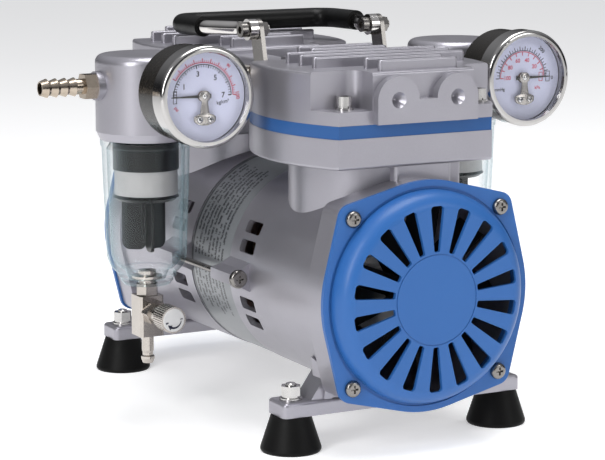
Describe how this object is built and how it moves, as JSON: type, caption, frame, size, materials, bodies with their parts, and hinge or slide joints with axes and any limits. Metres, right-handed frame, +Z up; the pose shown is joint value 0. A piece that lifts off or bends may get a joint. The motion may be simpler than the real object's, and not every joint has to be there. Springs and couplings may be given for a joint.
{
  "type": "rocking piston vacuum pump",
  "caption": "Twin-cylinder oil-free rocking-piston vacuum and pressure pump with clear moisture traps, round gauges, drain valves and a folding carrying handle.",
  "frame": {"origin": "on the floor, under the middle of the motor", "axes": "+Z up, +Y along the shaft towards the rear fan cover, +X towards the right-hand trap; the front fan cover and both gauges face -Y"},
  "size_m": [0.325, 0.3048, 0.2223],
  "materials": {
    "silver_casting": "satin silver-grey paint on die-cast aluminium",
    "blue_cover": "satin blue paint on pressed steel",
    "blue_plate": "satin blue paint on aluminium plate",
    "label_band": "silver-faced steel laminations under a printed rating band",
    "copper_winding": "enamelled copper wire, varnished",
    "machined_steel": "turned and ground steel",
    "zinc_hardware": "bright zinc-plated steel",
    "machined_aluminium": "machined aluminium",
    "seal_plastic": "filled PTFE",
    "fan_plastic": "black moulded plastic",
    "seal_rubber": "black rubber",
    "foot_rubber": "black moulded rubber",
    "handle_chrome": "polished chrome on steel rod",
    "grip_rubber": "smooth black rubber tube",
    "nickel_fitting": "bright nickel on brass",
    "brass_barb": "nickel-washed brass",
    "clear_bowl": "clear polycarbonate with a faint teal tint",
    "black_filter": "black moulded plastic",
    "filter_media": "white sintered plastic",
    "gauge_case": "black gloss paint on steel",
    "gauge_bezel": "polished chrome on steel",
    "gauge_dial": "printed white dial",
    "gauge_glass": "clear flat window",
    "bracket_metal": "plain bright metal",
    "pointer_black": "matt black paint",
    "box_plastic": "black moulded plastic",
    "switch_plastic": "black gloss plastic"
  },
  "bodies": {
    "pump": {"front_housing": "silver_casting", "rear_housing": "silver_casting", "front_cylinder_head": "silver_casting", "rear_cylinder_head": "silver_casting", "trap_heads": "silver_casting", "manifolds": "silver_casting", "front_fan_cover": "blue_cover", "rear_fan_cover": "blue_cover", "valve_plates": "blue_plate", "stator_core": "label_band", "stator_winding": "copper_winding", "main_bearings": "machined_steel", "reed_valves": "machined_steel", "fan_cover_screws": "zinc_hardware", "tie_rods": "zinc_hardware", "head_bolt_washers": "zinc_hardware", "head_bolts": "zinc_hardware", "handle_straps": "zinc_hardware", "handle_pivot_bolts": "zinc_hardware", "foot_bolts": "zinc_hardware", "cylinder_sleeves": "machined_aluminium", "head_seals": "seal_rubber", "bowl_seals": "seal_rubber", "rubber_feet": "foot_rubber", "trap_pipes": "nickel_fitting", "drain_valves": "nickel_fitting", "hose_barbs": "brass_barb", "trap_bowls": "clear_bowl", "filter_caps": "black_filter", "filter_baffles": "black_filter", "filter_elements": "filter_media", "gauge_cases": "gauge_case", "gauge_bezels": "gauge_bezel", "gauge_dials": "gauge_dial", "gauge_lenses": "gauge_glass", "gauge_brackets": "bracket_metal", "terminal_box": "box_plastic", "terminal_box_lid": "box_plastic", "cable_gland": "box_plastic", "power_switch": "switch_plastic"},
    "rotor": {"shaft": "machined_steel", "rotor_core": "machined_steel", "bearing_inner_races": "machined_steel", "cooling_fans": "fan_plastic", "eccentrics": "machined_steel"},
    "front_rod": {"front_rod_bearing": "machined_steel", "front_piston_rod": "machined_aluminium", "front_piston_cup": "seal_plastic", "front_piston_clamp": "machined_aluminium"},
    "rear_rod": {"rear_rod_bearing": "machined_steel", "rear_piston_rod": "machined_aluminium", "rear_piston_cup": "seal_plastic", "rear_piston_clamp": "machined_aluminium"},
    "handle": {"handle_rod": "handle_chrome", "handle_grip": "grip_rubber"},
    "left_needle": {"left_pointer": "pointer_black"},
    "right_needle": {"right_pointer": "pointer_black"},
    "left_knob": {"left_drain_knob": "nickel_fitting"},
    "right_knob": {"right_drain_knob": "nickel_fitting"},
    "switch": {"switch_rocker": "switch_plastic"}
  },
  "joints": [
    {"name": "rotor_spin", "type": "hinge", "parent": "pump", "child": "rotor", "pos_m": [0, 0, 0.08275], "axis": [0, 1, 0], "continuous": true},
    {"name": "front_rod_turn", "type": "hinge", "parent": "rotor", "child": "front_rod", "pos_m": [0, -0.079, 0.08575], "axis": [0, 1, 0], "continuous": true},
    {"name": "rear_rod_turn", "type": "hinge", "parent": "rotor", "child": "rear_rod", "pos_m": [0, 0.079, 0.07975], "axis": [0, 1, 0], "continuous": true},
    {"name": "handle_fold", "type": "hinge", "parent": "pump", "child": "handle", "pos_m": [0, -0.0135, 0.2163], "axis": [1, 0, 0], "range_deg": [0, 180]},
    {"name": "left_needle_turn", "type": "hinge", "parent": "pump", "child": "left_needle", "pos_m": [-0.1002, -0.0794, 0.1885], "axis": [0, 1, 0], "range_deg": [0, 180], "stiffness_Nm_per_rad": 0.00001},
    {"name": "right_needle_turn", "type": "hinge", "parent": "pump", "child": "right_needle", "pos_m": [0.1002, -0.0794, 0.1885], "axis": [0, -1, 0], "range_deg": [0, 180], "stiffness_Nm_per_rad": 0.00001},
    {"name": "left_knob_turn", "type": "hinge", "parent": "pump", "child": "left_knob", "pos_m": [-0.1002, -0.035, 0.061], "axis": [0, 1, 0], "range_deg": [0, 360]},
    {"name": "right_knob_turn", "type": "hinge", "parent": "pump", "child": "right_knob", "pos_m": [0.1002, -0.035, 0.061], "axis": [0, 1, 0], "range_deg": [0, 360]},
    {"name": "switch_rock", "type": "hinge", "parent": "pump", "child": "switch", "pos_m": [0.077, -0.009, 0.051], "axis": [0, 1, 0], "range_deg": [0, 16]}
  ],
  "couplings": [
    {"joint": "front_rod_turn", "follows": "rotor_spin", "ratio": -1},
    {"joint": "rear_rod_turn", "follows": "rotor_spin", "ratio": -1}
  ]
}
